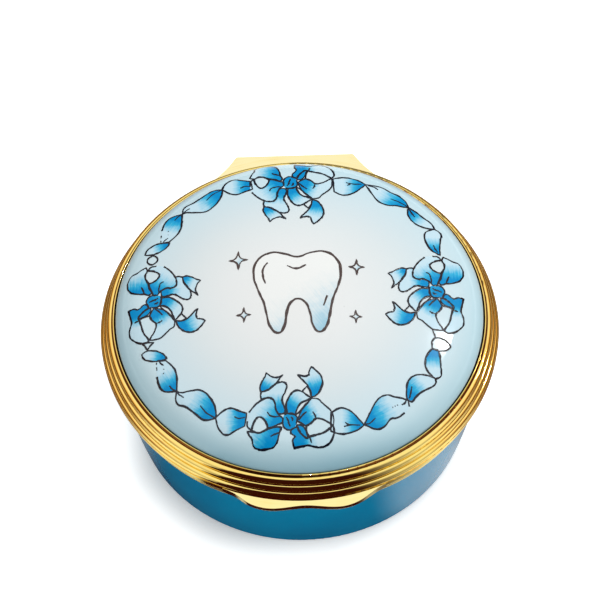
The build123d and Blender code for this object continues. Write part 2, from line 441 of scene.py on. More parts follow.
@dataclass(frozen=True)
class LidEnamelFinish(EnamelFinish):
    """Sky enamel that pales to white near the middle of the lid, with painted light making its left and
    right sides paler, a darker band at the rim that is partly painted shade, and a painted shadow in the
    seam at the bead.
    """

    stops: tuple[tuple[float, Colour], ...] = (
        (0.0, paint(236, 237, 235)),
        (0.3, paint(232, 235, 235)),
        (0.5, paint(223, 231, 232)),
        (0.68, paint(211, 227, 233)),
        (0.88, paint(200, 227, 236)),
        # partly painted shade: the last stops darken the blue at the rim, the enamel's deeper border blue
        # together with the shade of the steep shoulder
        (0.94, paint(188, 221, 232)),
        (1.0, paint(138, 188, 208)),
    )
    # painted shadow in the seam where the enamel runs under the bead, wider towards the back
    seam_shadow: Colour = paint(46, 40, 34)
    seam_shadow_line: float = 20.14 * MM
    seam_shadow_lean: float = 0.1 * MM
    seam_shadow_blur: float = 0.07 * MM
    gloss: float = 0.08
    border: float = 20.5 * MM
    halo_middle: Spot = (-1.1 * MM, -1.0 * MM)
    drift: float = 1.6 * MM
    drift_cells: float = 70.0
    # painted light: how much paler the enamel turns at the left and right sides, a little more at the
    # right
    painted_side_light: float = 0.025
    painted_right_light: float = 0.005

    def body_colour(self, sheet: ShaderSheet, spot: Wire) -> Wire:
        """Shades the glass from the middle to the border, with soft drifts in the shading, painted light
        making its left and right sides paler, and a painted shadow in the seam at the bead.

        Args:
            sheet: the material's tree.
            spot: the place on the lid.

        Returns:
            The colour.
        """
        x, y, _ = sheet.split(spot)
        drift = sheet.noise(spot, self.drift_cells) * self.drift - self.drift / 2.0
        rim = sheet.reach(x, y)
        share = rim * (1.0 / self.border)
        inside = 1.0 - share * share
        off_x = x - inside * self.halo_middle[0]
        off_y = y - inside * self.halo_middle[1]
        sideways = x / (rim + TINY)
        # painted light: moves the ramp towards its paler end at the sides, more on the right
        painted_light = sideways * sideways * self.painted_side_light + sideways * self.painted_right_light
        place = (sheet.reach(off_x, off_y) + drift) * (1.0 / self.border) - painted_light
        ramp = sheet.node("ShaderNodeValToRGB", {"stops": self.stops}, {0: place})
        ramp.color_ramp.interpolation = "B_SPLINE"
        # painted shadow: the enamel turns dark brown in the seam at the bead, starting further in towards
        # the back
        seam_shadow_edge = self.seam_shadow_line - y / (rim + TINY) * self.seam_shadow_lean
        depth = sheet.smooth(rim - seam_shadow_edge, 0.0, self.seam_shadow_blur)
        return sheet.blend(depth, sheet.wire(ramp), self.seam_shadow)


@dataclass(frozen=True)
class RibbonFinish(EnamelFinish):
    """Blue wash fired into the glaze, deep where a ribbon folds and pale where it turns to the light."""

    pale: Colour = paint(198, 226, 238)
    light: Colour = paint(150, 208, 232)
    middling: Colour = paint(54, 178, 220)
    deep: Colour = paint(0, 142, 204)
    shine: float = 0.16
    streaks_across: float = 5.5
    streaks_along: float = 1.1
    streaks_detail: Spot = (3.0, 0.6)
    streakiness: float = 0.5
    wet_cells: float = 1300.0
    wet_detail: Spot = (3.0, 0.55)
    wetness: float = 0.35

    def body_colour(self, sheet: ShaderSheet, spot: Wire) -> Wire:
        """Shades the wash by its depth, with brush streaks from the deep end to the pale one.

        Args:
            sheet: the material's tree.
            spot: the place on the lid.

        Returns:
            The colour.
        """
        depth = sheet.wire(sheet.node("ShaderNodeAttribute", {"attribute_name": "depth"}), "Fac")
        strand = sheet.wire(sheet.node("ShaderNodeAttribute", {"attribute_name": "strand"}), "Fac")
        brush = sheet.join(strand * self.streaks_across, depth * self.streaks_along, 0.0)
        hairs = sheet.noise(brush, 1.0, *self.streaks_detail) - 0.5
        wet = sheet.noise(spot, self.wet_cells, *self.wet_detail) - 0.5
        laid = depth + hairs * self.streakiness + wet * self.wetness
        stops = [(0.02, self.pale), (0.3, self.light), (0.54, self.middling), (0.82, self.deep)]
        return sheet.wire(sheet.node("ShaderNodeValToRGB", {"stops": stops}, {0: laid}))


@dataclass(frozen=True)
class InkFinish(EnamelFinish):
    """Thin dark pen line under the glaze, a little washed out here and there."""

    full: Colour = paint(14, 18, 34)
    washed: Colour = paint(50, 58, 78)
    gloss: float = 0.08
    thin_cells: float = 2400.0
    thin_detail: Spot = (3.0, 0.6)
    thin_from: Spot = (0.55, 0.8)

    def body_colour(self, sheet: ShaderSheet, spot: Wire) -> Wire:
        """Lets the ink thin out in places.

        Args:
            sheet: the material's tree.
            spot: the place on the lid.

        Returns:
            The colour.
        """
        grain = sheet.noise(spot, self.thin_cells, *self.thin_detail)
        thin = sheet.smooth(grain, *self.thin_from)
        return sheet.blend(thin, self.full, self.washed)


@dataclass(frozen=True)
class LidDome:
    """The surface of the lid's enamel, which everything painted on it follows."""

    crown_radius: float = 73.0 * MM
    crown_middle: float = -51.031 * MM
    shoulder_reach: float = 16.407 * MM
    shoulder_middle: float = 15.99 * MM
    shoulder_radius: float = 4.0 * MM

    def height(self, reach: float) -> float:
        """Gives the height of the enamel at a distance from the middle.

        Args:
            reach: the distance in metres.

        Returns:
            The height in metres.
        """
        meeting = self.crown_radius * self.shoulder_reach / (self.crown_radius - self.shoulder_radius)
        if reach <= meeting:
            return self.crown_middle + math.sqrt(self.crown_radius**2 - reach**2)
        out = min(reach - self.shoulder_reach, self.shoulder_radius)
        return self.shoulder_middle + math.sqrt(self.shoulder_radius**2 - out**2)


@dataclass(frozen=True)
class Patch:
    """One closed shape of a drawing, with its wash and its outline."""

    outline: tuple[Spot, ...]
    corners: tuple[int, ...] = ()
    deep: Spot | None = None
    pale: Spot | None = None
    unlined: tuple[int, ...] = ()
    spill: float = 0.15

    def wash_at(self, x: float, y: float) -> Spot:
        """Gives the wash at a place.

        Args:
            x: the place across the drawing.
            y: the place along the drawing.

        Returns:
            The depth, 1 at the deep end and 0 past the pale one, and the place across the brush.
        """
        way_x = self.pale[0] - self.deep[0]
        way_y = self.pale[1] - self.deep[1]
        span = math.hypot(way_x, way_y)
        off_x = x - self.deep[0]
        off_y = y - self.deep[1]
        share = (off_x * way_x + off_y * way_y) / span**2
        depth = 1.0 - min(1.0 + self.spill, max(-self.spill, share))
        return depth, (off_y * way_x - off_x * way_y) / span


@dataclass(frozen=True)
class Placement:
    """Where a flat drawing goes on the lid: its middle and the ways of its two axes."""

    middle: Vector
    across: Vector
    along: Vector

    def spot(self, x: float, y: float) -> Vector:
        """Gives the place on the lid of a place on the drawing."""
        return self.middle + self.across * x + self.along * y

    def mirrored(self) -> bool:
        """Tells whether the drawing comes out turned over."""
        return self.across.x * self.along.y - self.across.y * self.along.x < 0.0


def only(piece: Piece) -> None:
    """Selects one object alone and makes it active.

    Args:
        piece: the object.
    """
    bpy.ops.object.select_all(action="DESELECT")
    piece.select_set(True)
    bpy.context.view_layer.objects.active = piece


def joined(pieces: list[Piece], name: str) -> Piece:
    """Joins meshes into the first of them.

    Args:
        pieces: the mesh objects.
        name: the joined piece's name.

    Returns:
        The joined piece.
    """
    only(pieces[0])
    for piece in pieces[1:]:
        piece.select_set(True)
    if len(pieces) > 1:
        bpy.ops.object.join()
    made = bpy.context.view_layer.objects.active
    made.name = name
    made.data.name = name
    return made


def converted(curve: Piece) -> Piece:
    """Turns a curve into a mesh.

    Args:
        curve: the curve object.

    Returns:
        The mesh object.
    """
    only(curve)
    bpy.ops.object.convert(target="MESH")
    return bpy.context.view_layer.objects.active


@contextmanager
def editing(piece: Piece) -> Iterator[None]:
    """Opens a mesh for editing with all of it selected, and closes it afterwards.

    Args:
        piece: the mesh object.

    Returns:
        The open stretch.
    """
    only(piece)
    bpy.ops.object.mode_set(mode="EDIT")
    bpy.ops.mesh.select_all(action="SELECT")
    yield
    bpy.ops.object.mode_set(mode="OBJECT")


@dataclass
class PenAndWash:
    """A flat drawing in pen and wash, which is then laid on the lid."""

    name: str
    patches: list[Patch]
    lines: list[tuple[Spot, ...]] = field(default_factory=list)
    unit: float = MM
    pen: float = 0.094 * MM
    tremor: float = 0.018 * MM
    lattice: float = 0.36 * MM
    seed: int = 1
    wash_steps: int = 6
    pen_steps: int = 3
    pen_facets: int = 1
    grain_cuts: int = 2
    weld: float = 0.002 * MM
    brush_step: float = 3.7
    outline_press: Spot = (0.78, 1.25)
    fold_press: Spot = (0.8, 1.15)
    grain_press: Spot = (0.78, 1.3)
    line_end: float = 0.7
    flatness: float = 0.12

    def add_spline(
        self,
        curve: bpy.types.Curve,
        points: tuple[Spot, ...],
        corners: tuple[int, ...],
        closed: bool,
        weights: list[float] | None = None,
    ) -> None:
        """Adds one smooth line to a curve.

        Args:
            curve: the curve's data.
            points: the places it passes.
            corners: which of them are sharp.
            closed: whether it comes back to its start.
            weights: the line's weight at each place.
        """
        line = curve.splines.new("BEZIER")
        line.bezier_points.add(len(points) - 1)
        for index, (x, y) in enumerate(points):
            line.bezier_points[index].co = (x * self.unit, y * self.unit, 0.0)
            if weights is not None:
                line.bezier_points[index].radius = weights[index]
        line.use_cyclic_u = closed
        for index, knob in enumerate(line.bezier_points):
            kind = "VECTOR" if index in corners else "AUTO"
            knob.handle_left_type = kind
            knob.handle_right_type = kind

    def curve_object(self, name: str, shape: str) -> Piece:
        """Makes an empty curve object.

        Args:
            name: its name.
            shape: 2D for a filled shape or 3D for a pen line.

        Returns:
            The object.
        """
        data = bpy.data.curves.new(name, "CURVE")
        data.dimensions = shape
        made = bpy.data.objects.new(name, data)
        bpy.context.scene.collection.objects.link(made)
        return made

    def wash(self) -> Piece | None:
        """Fills the patches, cuts them by a lattice so that they can bend, and marks the depth.

        Returns:
            The flat wash, or nothing where no patch is filled.
        """
        filled = [patch for patch in self.patches if patch.deep is not None]
        if not filled:
            return None
        sheets = []
        for number, patch in enumerate(filled):
            shape = self.curve_object(f"{self.name}_wash", "2D")
            shape.data.fill_mode = "BOTH"
            shape.data.resolution_u = self.wash_steps
            self.add_spline(shape.data, patch.outline, patch.corners, True)
            shape = converted(shape)
            for item in shape.data.attributes.new("patch", "INT", "FACE").data:
                item.value = number
            sheets.append(shape)
        made = joined(sheets, f"{self.name}_wash")
        self.cut_by_lattice(made)
        self.mark_depth(made, filled)
        return made

    def cut_by_lattice(self, piece: Piece) -> None:
        """Cuts a flat sheet along evenly spaced lines both ways.

        Args:
            piece: the sheet.
        """
        xs = [vertex.co.x for vertex in piece.data.vertices]
        ys = [vertex.co.y for vertex in piece.data.vertices]
        with editing(piece):
            for values, way in ((xs, (1.0, 0.0, 0.0)), (ys, (0.0, 1.0, 0.0))):
                count = int((max(values) - min(values)) / self.lattice)
                for step in range(1, count + 1):
                    spot = min(values) + step * self.lattice
                    bpy.ops.mesh.select_all(action="SELECT")
                    bpy.ops.mesh.bisect(plane_co=[spot * part for part in way], plane_no=way)
            bpy.ops.mesh.select_all(action="SELECT")
            bpy.ops.mesh.remove_doubles(threshold=self.weld)

    def mark_depth(self, piece: Piece, filled: list[Patch]) -> None:
        """Writes the wash's depth on the points of a sheet.

        Args:
            piece: the sheet.
            filled: the patches it was made from, in order.
        """
        mesh = piece.data
        owners = [0] * len(mesh.vertices)
        tags = mesh.attributes["patch"].data
        for face in mesh.polygons:
            for corner in face.vertices:
                owners[corner] = tags[face.index].value
        for name in ("depth", "strand"):
            mesh.attributes.new(name, "FLOAT", "POINT")
        depths = mesh.attributes["depth"].data
        strands = mesh.attributes["strand"].data
        for vertex, owner in zip(mesh.vertices, owners):
            depth, across = filled[owner].wash_at(vertex.co.x / self.unit, vertex.co.y / self.unit)
            depths[vertex.index].value = depth
            strands[vertex.index].value = across * self.unit / MM + owner * self.brush_step

    def ink(self) -> Piece:
        """Draws every outline and fold line as a flat stroke of uneven weight.

        Returns:
            The flat strokes.
        """
        hand = random.Random(self.seed)
        strokes = self.curve_object(f"{self.name}_ink", "3D")
        strokes.data.bevel_depth = self.pen
        strokes.data.bevel_resolution = self.pen_facets
        strokes.data.resolution_u = self.pen_steps
        strokes.data.use_fill_caps = True
        for patch in self.patches:
            for run, corners, closed in self.runs(patch):
                weights = [hand.uniform(*self.outline_press) for _ in run]
                self.add_spline(strokes.data, run, corners, closed, weights)
        for line in self.lines:
            weights = [hand.uniform(*self.fold_press) for _ in line]
            weights[0] *= self.line_end
            weights[-1] *= self.line_end
            self.add_spline(strokes.data, line, (), False, weights)
        self.roughen(strokes, hand)
        made = converted(strokes)
        with editing(made):
            bpy.ops.transform.resize(value=(1.0, 1.0, self.flatness), center_override=(0.0, 0.0, 0.0))
        return made

    def roughen(self, strokes: Piece, hand: random.Random) -> None:
        """Breaks the strokes' evenness, as grainy ground does to a pen.

        Args:
            strokes: the curve object.
            hand: what varies the pen.
        """
        only(strokes)
        bpy.ops.object.mode_set(mode="EDIT")
        bpy.ops.curve.select_all(action="SELECT")
        bpy.ops.curve.subdivide(number_cuts=self.grain_cuts)
        bpy.ops.object.mode_set(mode="OBJECT")
        for line in strokes.data.splines:
            for knob in line.bezier_points:
                shift = Vector((hand.uniform(-1.0, 1.0), hand.uniform(-1.0, 1.0), 0.0)) * self.tremor
                knob.co += shift
                knob.handle_left += shift
                knob.handle_right += shift
                knob.radius *= hand.uniform(*self.grain_press)

    def runs(self, patch: Patch) -> list[tuple[tuple[Spot, ...], tuple[int, ...], bool]]:
        """Splits an outline where the pen was lifted.

        Args:
            patch: the patch.

        Returns:
            Each stroke's places, its sharp ones, and whether it is closed.
        """
        if not patch.unlined:
            return [(patch.outline, patch.corners, True)]
        count = len(patch.outline)
        found = []
        start = (patch.unlined[-1] + 1) % count
        current = [start]
        for step in range(count):
            index = (start + step) % count
            following = (index + 1) % count
            if index in patch.unlined:
                if len(current) > 1:
                    found.append(current)
                current = [following]
            else:
                current.append(following)
        if len(current) > 1:
            found.append(current)
        return [
            (
                tuple(patch.outline[index] for index in run),
                tuple(place for place, index in enumerate(run) if index in patch.corners),
                False,
            )
            for run in found
        ]


@dataclass
class LidPainter:
    """Lays flat drawings on the lid and dresses them."""

    dome: LidDome = LidDome()
    wash_finish: Finish = RibbonFinish("ribbon_wash", gloss=0.14)
    ink_finish: Finish = InkFinish("pen_line", gloss=0.16)
    wash_lift: float = 0.012 * MM
    ink_lift: float = 0.02 * MM
    wash_body: float = 0.014 * MM
    smooth_below: float = math.radians(50.0)

    def lay(self, flat: Piece, where: Placement, lift: float) -> Piece:
        """Copies a flat sheet, each copy with its own mesh, and lays it on the dome.

        Args:
            flat: the flat sheet.
            where: its place.
            lift: how far above the enamel it lies.

        Returns:
            The laid copy.
        """
        copy = flat.copy()
        copy.data = flat.data.copy()
        bpy.context.scene.collection.objects.link(copy)
        for vertex in copy.data.vertices:
            spot = where.spot(vertex.co.x, vertex.co.y)
            rise = self.dome.height(spot.length) + lift + vertex.co.z
            vertex.co = (spot.x, spot.y, rise)
        if where.mirrored():
            with editing(copy):
                bpy.ops.mesh.flip_normals()
        return copy

    def paint(self, drawing: PenAndWash, places: dict[str, Placement]) -> None:
        """Models a drawing once and lays a copy at each place.

        Args:
            drawing: the drawing.
            places: where it goes, by the name of each copy.
        """
        wash = drawing.wash()
        ink = drawing.ink()
        for name, where in places.items():
            parts = [] if wash is None else [self.laid_wash(wash, where)]
            lines = self.lay(ink, where, self.ink_lift)
            self.ink_finish.dress(lines)
            piece = joined([*parts, lines], name)
            bpy.ops.object.shade_smooth_by_angle(angle=self.smooth_below)
            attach(piece, "lid")
            log.info("%s laid on the lid with %d faces", name, len(piece.data.polygons))
        for flat in (wash, ink):
            if flat is not None:
                bpy.data.objects.remove(flat)

    def laid_wash(self, wash: Piece, where: Placement) -> Piece:
        """Lays a wash and gives it its thin body of enamel.

        Args:
            wash: the flat wash.
            where: its place.

        Returns:
            The laid wash.
        """
        laid = self.lay(wash, where, self.wash_lift)
        if sum(face.normal.z * face.area for face in laid.data.polygons) < 0.0:
            with editing(laid):
                bpy.ops.mesh.flip_normals()
        only(laid)
        body = laid.modifiers.new("body", "SOLIDIFY")
        body.thickness = self.wash_body
        body.offset = -1.0
        bpy.ops.object.modifier_apply(modifier="body")
        self.wash_finish.dress(laid)
        return laid


class Lean(Enum):
    """Which end of a ribbon pod lies deep in the fold: the shares of its way that are deep and pale."""

    START = (0.12, 0.68)
    END = (0.88, 0.32)


@dataclass(frozen=True)
class PodShape:
    """One swelling of the twisted ribbon between two pinches.

    The first number of a place is the share of the way from pinch to pinch, and the second is
    millimetres sideways, outwards counted up.
    """

    outer: tuple[Spot, ...]
    inner: tuple[Spot, ...]
    folds: tuple[tuple[Spot, ...], ...] = ()
    lean: Lean = Lean.END
    lifted: tuple[int, ...] = ()
    pale_side: float = 0.15

    def fuller(self, share: float) -> "PodShape":
        """Gives the pod with its outer side that many times as full."""
        return replace(self, outer=tuple((along, side * share) for along, side in self.outer))

    def drawing(self, name: str, span: float, seed: int) -> PenAndWash:
        """Draws the pod flat, with its first pinch at the middle and its last one on the x axis.

        Args:
            name: its name.
            span: from pinch to pinch, in millimetres.
            seed: what varies the pen.

        Returns:
            The drawing.
        """
        outline = self.outer + tuple(reversed(self.inner))
        corners = [0, len(self.outer) - 1]
        if self.outer[0][1] != 0.0:
            corners.append(len(outline) - 1)
        if self.outer[-1][1] != 0.0:
            corners.append(len(self.outer))
        deep_end, pale_end = self.lean.value
        patch = Patch(
            outline=tuple((share * span, side) for share, side in outline),
            corners=tuple(corners),
            deep=(deep_end * span, 0.0),
            pale=(pale_end * span, self.pale_side),
            unlined=self.lifted,
        )
        folds = [tuple((share * span, side) for share, side in fold) for fold in self.folds]
        return PenAndWash(name, [patch], folds, seed=seed)


class Pod(Enum):
    """The shapes that the twisted ribbon takes between two pinches."""

    BUD = PodShape(
        outer=((0.0, 0.0), (0.15, 0.85), (0.42, 1.3), (0.7, 0.95), (1.0, 0.5)),
        inner=((0.2, -0.8), (0.43, -1.2), (0.7, -1.0), (1.0, -0.78)),
        folds=(((0.6, -0.3), (0.76, -0.14), (0.96, -0.3)),),
    )
    LONG_LEAF = PodShape(
        outer=((0.0, 0.0), (0.14, 0.68), (0.36, 0.55), (0.65, 0.6), (0.85, 0.55), (1.0, 0.0)),
        inner=((0.08, -0.12), (0.2, -0.75), (0.4, -1.55), (0.62, -1.45), (0.82, -1.0), (0.95, -0.4)),
        folds=(((0.58, -0.15), (0.77, 0.1), (1.0, 0.0)), ((0.0, 0.05), (0.1, 0.14), (0.2, 0.12))),
    )
    HANGING = PodShape(
        outer=((-0.04, 0.42), (0.13, 0.78), (0.36, 1.14), (0.58, 1.34), (0.81, 1.12), (1.0, 0.0)),
        inner=((0.07, -0.43), (0.3, -0.77), (0.49, -0.84), (0.7, -0.58), (0.87, -0.24)),
        folds=(
            ((0.0, 0.5), (0.05, 0.6)),
            ((0.12, 0.74), (0.2, 0.86)),
            ((0.365, 0.39), (0.38, 0.42)),
            ((0.26, 0.14), (0.275, 0.17)),
            ((0.02, 0.22), (0.1, 0.12), (0.17, -0.03)),
            ((0.98, 0.05), (0.88, 0.3), (0.76, 0.42)),
        ),
        lifted=(0, 1),
    )
    PETAL = PodShape(
        outer=((0.0, 0.0), (0.15, 0.45), (0.4, 0.62), (0.7, 0.5), (1.0, 0.0)),
        inner=((0.12, -0.35), (0.4, -0.62), (0.7, -0.55), (0.9, -0.3)),
    )
    HEART = PodShape(
        outer=((0.0, 0.95), (0.3, 1.15), (0.6, 0.95), (0.85, 0.5), (1.0, 0.0)),
        inner=((0.0, -1.1), (0.25, -1.65), (0.55, -1.45), (0.85, -0.55)),
        folds=(((0.4, 0.35), (0.56, 0.14), (0.88, 0.05)), ((0.42, -0.12), (0.5, 0.04), (0.56, 0.14))),
    )
    SICKLE = PodShape(
        outer=((0.0, 0.0), (0.29, 0.75), (0.5, 0.75), (0.68, 0.85), (0.85, 0.6), (1.0, 0.0)),
        inner=((0.16, -0.5), (0.29, -0.95), (0.475, -1.35), (0.64, -1.2), (0.79, -0.62), (0.93, -0.25)),
        folds=(((0.06, 0.05), (0.18, 0.26), (0.27, 0.16)), ((0.6, -0.12), (0.8, 0.05), (0.97, 0.0))),
    )
    WING = PodShape(
        outer=((0.0, 0.0), (0.26, 0.16), (0.5, 0.2), (0.84, 0.3), (1.0, 0.0)),
        inner=((0.06, -0.4), (0.256, -1.0), (0.47, -1.15), (0.73, -0.9), (0.93, -0.3)),
        folds=(((0.04, -0.1), (0.2, -0.35), (0.36, -0.5)),),
        lean=Lean.START,
    )
    DROP = PodShape(
        outer=((0.0, 0.0), (0.1, 0.45), (0.21, 0.62), (0.4, 0.42), (0.71, 0.12), (1.0, 0.0)),
        inner=((0.03, -0.4), (0.105, -1.03), (0.28, -1.3), (0.555, -1.22), (0.81, -0.86), (0.94, -0.35)),
        folds=(((0.62, -0.5), (0.78, -0.4), (0.9, -0.2)),),
    )
    BILLOW = PodShape(
        outer=(
            (0.0, 0.0), (0.18, 1.03), (0.33, 1.15), (0.51, 0.84), (0.63, 1.02), (0.81, 0.96),
            (0.95, 0.62), (1.0, 0.0),
        ),
        inner=(
            (0.12, -0.42), (0.25, -0.88), (0.42, -1.45), (0.58, -1.72), (0.71, -1.55), (0.81, -1.0),
            (0.92, -0.5),
        ),
        folds=(
            ((0.0, 0.0), (0.13, 0.14), (0.26, -0.05)),
            ((0.655, -0.15), (0.668, -0.13)),
            ((0.71, -0.12), (0.722, -0.11)),
            ((0.76, -0.08), (0.772, -0.07)),
            ((0.84, 0.12), (0.91, 0.08), (0.97, -0.12)),
        ),
        lean=Lean.START,
        lifted=(5,),
    )
    FAN = PodShape(
        outer=(
            (0.0, 0.0), (0.05, 0.32), (0.18, 0.26), (0.476, 0.2), (0.765, 0.42), (0.93, 0.34), (1.0, 0.0),
        ),
        inner=(
            (0.03, -0.35), (0.127, -0.78), (0.31, -1.45), (0.45, -1.68), (0.65, -1.58), (0.82, -1.1),
            (0.94, -0.5),
        ),
        folds=(((0.06, -0.1), (0.2, -0.45), (0.34, -0.9)),),
        lean=Lean.START,
    )
    STRAP = PodShape(
        outer=((0.0, 0.0), (0.1, 0.6), (0.25, 0.68), (0.47, 0.67), (0.78, 0.68), (1.0, 0.5)),
        inner=((0.1, -0.42), (0.33, -0.92), (0.61, -0.93), (0.84, -0.62), (1.0, -0.15)),
    )
    RING = PodShape(
        outer=((0.0, 0.1), (0.2, 0.42), (0.5, 0.58), (0.8, 0.46), (1.0, 0.12)),
        inner=((0.0, -0.1), (0.2, -0.42), (0.5, -0.56), (0.8, -0.42), (1.0, -0.1)),
    )
    WEDGE = PodShape(
        outer=((0.0, 0.0), (0.5, 0.28), (1.0, 0.66)),
        inner=((0.0, -0.04), (0.5, -0.3), (1.0, -0.68)),
    )
    LOOP = PodShape(
        outer=((0.0, 0.3), (0.08, 0.48), (0.4, 0.64), (0.8, 0.4), (1.0, 0.0)),
        inner=((0.0, -0.4), (0.2, -0.92), (0.6, -0.86), (0.9, -0.42)),
        folds=(((0.02, -1.95), (0.1, -1.5), (0.2, -0.92)),),
    )


@dataclass(frozen=True)
class Pinch:
    """A place on the garland: its distance from the middle in millimetres and its angle in degrees."""

    reach: float
    angle: float


@dataclass(frozen=True)
class RibbonBow:
    """A bow, drawn on a sheet of 72 units to a millimetre.

    The knot is at the sheet's middle, the smaller loops lie to the left and the two tails point
    up, to the middle of the lid.
    """

    unit: float = MM / 72.0
    seed: int = 7
    hem: tuple[Spot, ...] = (
        (302, -66), (247, -96), (187, -110), (150, -120), (130, -130), (104, -112), (76, -82),
        (52, -42),
    )
    swing_from: float = 100.0
    swing_height: float = 150.0
    swing: float = 41.0
    swing_spread: float = 0.05

    def long_loop(self) -> Patch:
        """Draws the lower left loop as three of the bows have it."""
        return Patch(
            ((-328, -68), (-312, -108), (-293, -145), (-284, -188), (-252, -214), (-200, -226),
             (-142, -209), (-105, -170), (-86, -120), (-76, -72), (-60, -40), (-80, -22), (-125, -38),
             (-172, -52), (-215, -70), (-255, -76), (-292, -56)),
            corners=(0, 10), deep=(-95, -115), pale=(-275, -105),
        )

    def sweep(self, edge: tuple[Spot, ...], deep: Spot, pale: Spot) -> Patch:
        """Draws a lower right loop from its edge, which runs from the knot round to the hem."""
        return Patch(edge + self.hem, corners=(0, 3, 5, 13, 17, 21), deep=deep, pale=pale)

    def long_sweep(self) -> Patch:
        """Draws the lower right loop as three of the bows have it."""
        edge = (
            (26, -54), (18, -82), (40, -110), (54, -136), (38, -176), (44, -214), (90, -202),
            (160, -188), (214, -204), (266, -202), (320, -162), (352, -110), (357, -66), (338, -38),
        )
        return self.sweep(edge, deep=(95, -165), pale=(215, -150))

    def short_sweep(self) -> Patch:
        """Draws the lower right loop of the front bow, which is shallower."""
        edge = (
            (22, -54), (6, -84), (22, -100), (38, -114), (20, -142), (30, -193), (80, -186),
            (142, -180), (203, -191), (253, -188), (303, -166), (336, -112), (342, -70), (336, -38),
        )
        return self.sweep(edge, deep=(80, -160), pale=(205, -130))

    def short_loop(self) -> Patch:
        """Draws the lower left loop of the front bow, which is shorter and rounder."""
        return Patch(
            ((-328, -58), (-318, -82), (-298, -110), (-290, -140), (-282, -164), (-256, -181),
             (-216, -188), (-165, -187), (-128, -178), (-104, -152), (-92, -122), (-82, -82),
             (-62, -42), (-110, -36), (-165, -50), (-205, -66), (-245, -74), (-288, -62)),
            corners=(0, 12), deep=(-150, -150), pale=(-300, -20),
        )

    def small_side(self, lower: Patch) -> list[Patch]:
        """Draws the side of the smaller loops, with the longer tail.

        Args:
            lower: the lower loop.

        Returns:
            The patches in the order of painting.
        """
        upper = Patch(
            ((-52, 30), (-85, 60), (-105, 100), (-113, 150), (-138, 184), (-178, 188), (-218, 174),
             (-275, 130), (-312, 85), (-327, 20), (-325, -25), (-300, -48), (-288, -15), (-268, 22),
             (-236, 46), (-200, 27), (-178, -10), (-170, -42), (-120, -30), (-55, -5)),
            corners=(0, 11, 17, 19), deep=(-85, 5), pale=(-240, 105), unlined=(8,),
        )
        opening = Patch(
            ((-297, -50), (-283, -10), (-262, 30), (-236, 47), (-202, 28), (-176, -10), (-170, -40),
             (-205, -62), (-250, -73)),
            corners=(0, 6),
        )
        tail = Patch(
            ((-32, 62), (-35, 110), (-54, 160), (-52, 185), (-34, 222), (-18, 262), (-18, 292),
             (-36, 308), (-62, 310), (-95, 300), (-125, 280), (-165, 254), (-215, 240), (-220, 212),
             (-214, 180), (-175, 190), (-138, 186), (-112, 152), (-106, 105), (-84, 62)),
            corners=(0, 12, 14, 19), deep=(-70, 90), pale=(-75, 225),
        )
        tip = Patch(
            ((-216, 240), (-223, 272), (-206, 322), (-182, 362), (-171, 390), (-140, 362), (-88, 348),
             (-44, 368), (-72, 334), (-96, 304), (-128, 276), (-170, 248)),
            corners=(0, 4, 7), deep=(-195, 258), pale=(-140, 345),
        )
        return [upper, lower, opening, tail, tip]

    def top(self) -> list[Patch]:
        """Draws the loop above the knot, with the slit beside it."""
        loop = Patch(
            ((-18, 62), (-24, 118), (-12, 168), (18, 214), (50, 238), (95, 231), (135, 204), (172, 176),
             (126, 158), (86, 134), (60, 95), (44, 48)),
            corners=(0, 7, 11), deep=(10, 90), pale=(90, 195),
        )
        slit = Patch(
            ((46, 46), (61, 95), (88, 135), (130, 156), (174, 174), (126, 128), (86, 80)),
            corners=(0, 4),
        )
        return [loop, slit]

    def large_side(self, lower: Patch) -> list[Patch]:
        """Draws the side of the larger loops, with the tip of the shorter tail.

        Args:
            lower: the lower loop.

        Returns:
            The patches in the order of painting.
        """
        tip = Patch(
            ((174, 184), (212, 198), (244, 240), (263, 308), (246, 362), (212, 400), (181, 426),
             (161, 386), (160, 362), (134, 352), (96, 356), (76, 364), (88, 344), (120, 310),
             (148, 276), (166, 236)),
            corners=(0, 6, 8, 11), deep=(205, 225), pale=(168, 350),
        )
        upper = Patch(
            ((176, 174), (225, 167), (260, 132), (308, 90), (331, 58), (341, 10), (338, -36),
             (308, -18), (272, 4), (234, 16), (200, 18), (176, -8), (156, -22), (124, -36), (86, -14),
             (58, 4), (74, 42), (92, 82), (132, 128)),
            corners=(0, 6, 13, 15), deep=(112, 30), pale=(225, 80),
        )
        opening = Patch(
            ((126, -36), (158, -22), (184, 0), (210, 18), (254, 12), (300, -14), (332, -38), (300, -64),
             (246, -94), (186, -108), (144, -116), (130, -82)),
            corners=(0, 6, 10),
        )
        leaf = Patch(
            ((54, -28), (90, -30), (117, -60), (130, -100), (138, -130), (104, -112), (76, -78)),
            corners=(0, 4), deep=(90, -60), pale=(260, -160),
        )
        return [tip, upper, opening, lower, leaf]

    def folds(self) -> list[tuple[Spot, ...]]:
        """Draws the lines where the ribbon folds."""
        return [
            ((-26, 34), (-12, 12), (-6, -14), (4, -38)),
            ((12, 36), (24, 18), (22, 2)),
            ((-170, 82), (-155, 56), (-122, 44), (-60, 42)),
            ((-150, -106), (-120, -92), (-86, -82)),
            ((70, 8), (95, 40), (134, 72)),
            ((180, 70), (194, 50), (202, 22)),
            ((150, -118), (158, -142), (164, -164)),
            ((62, -60), (78, -84), (88, -96)),
            ((104, 230), (124, 252), (140, 272)),
            ((140, 272), (160, 240), (174, 184)),
            ((-54, 62), (-30, 70), (-16, 64)),
        ]

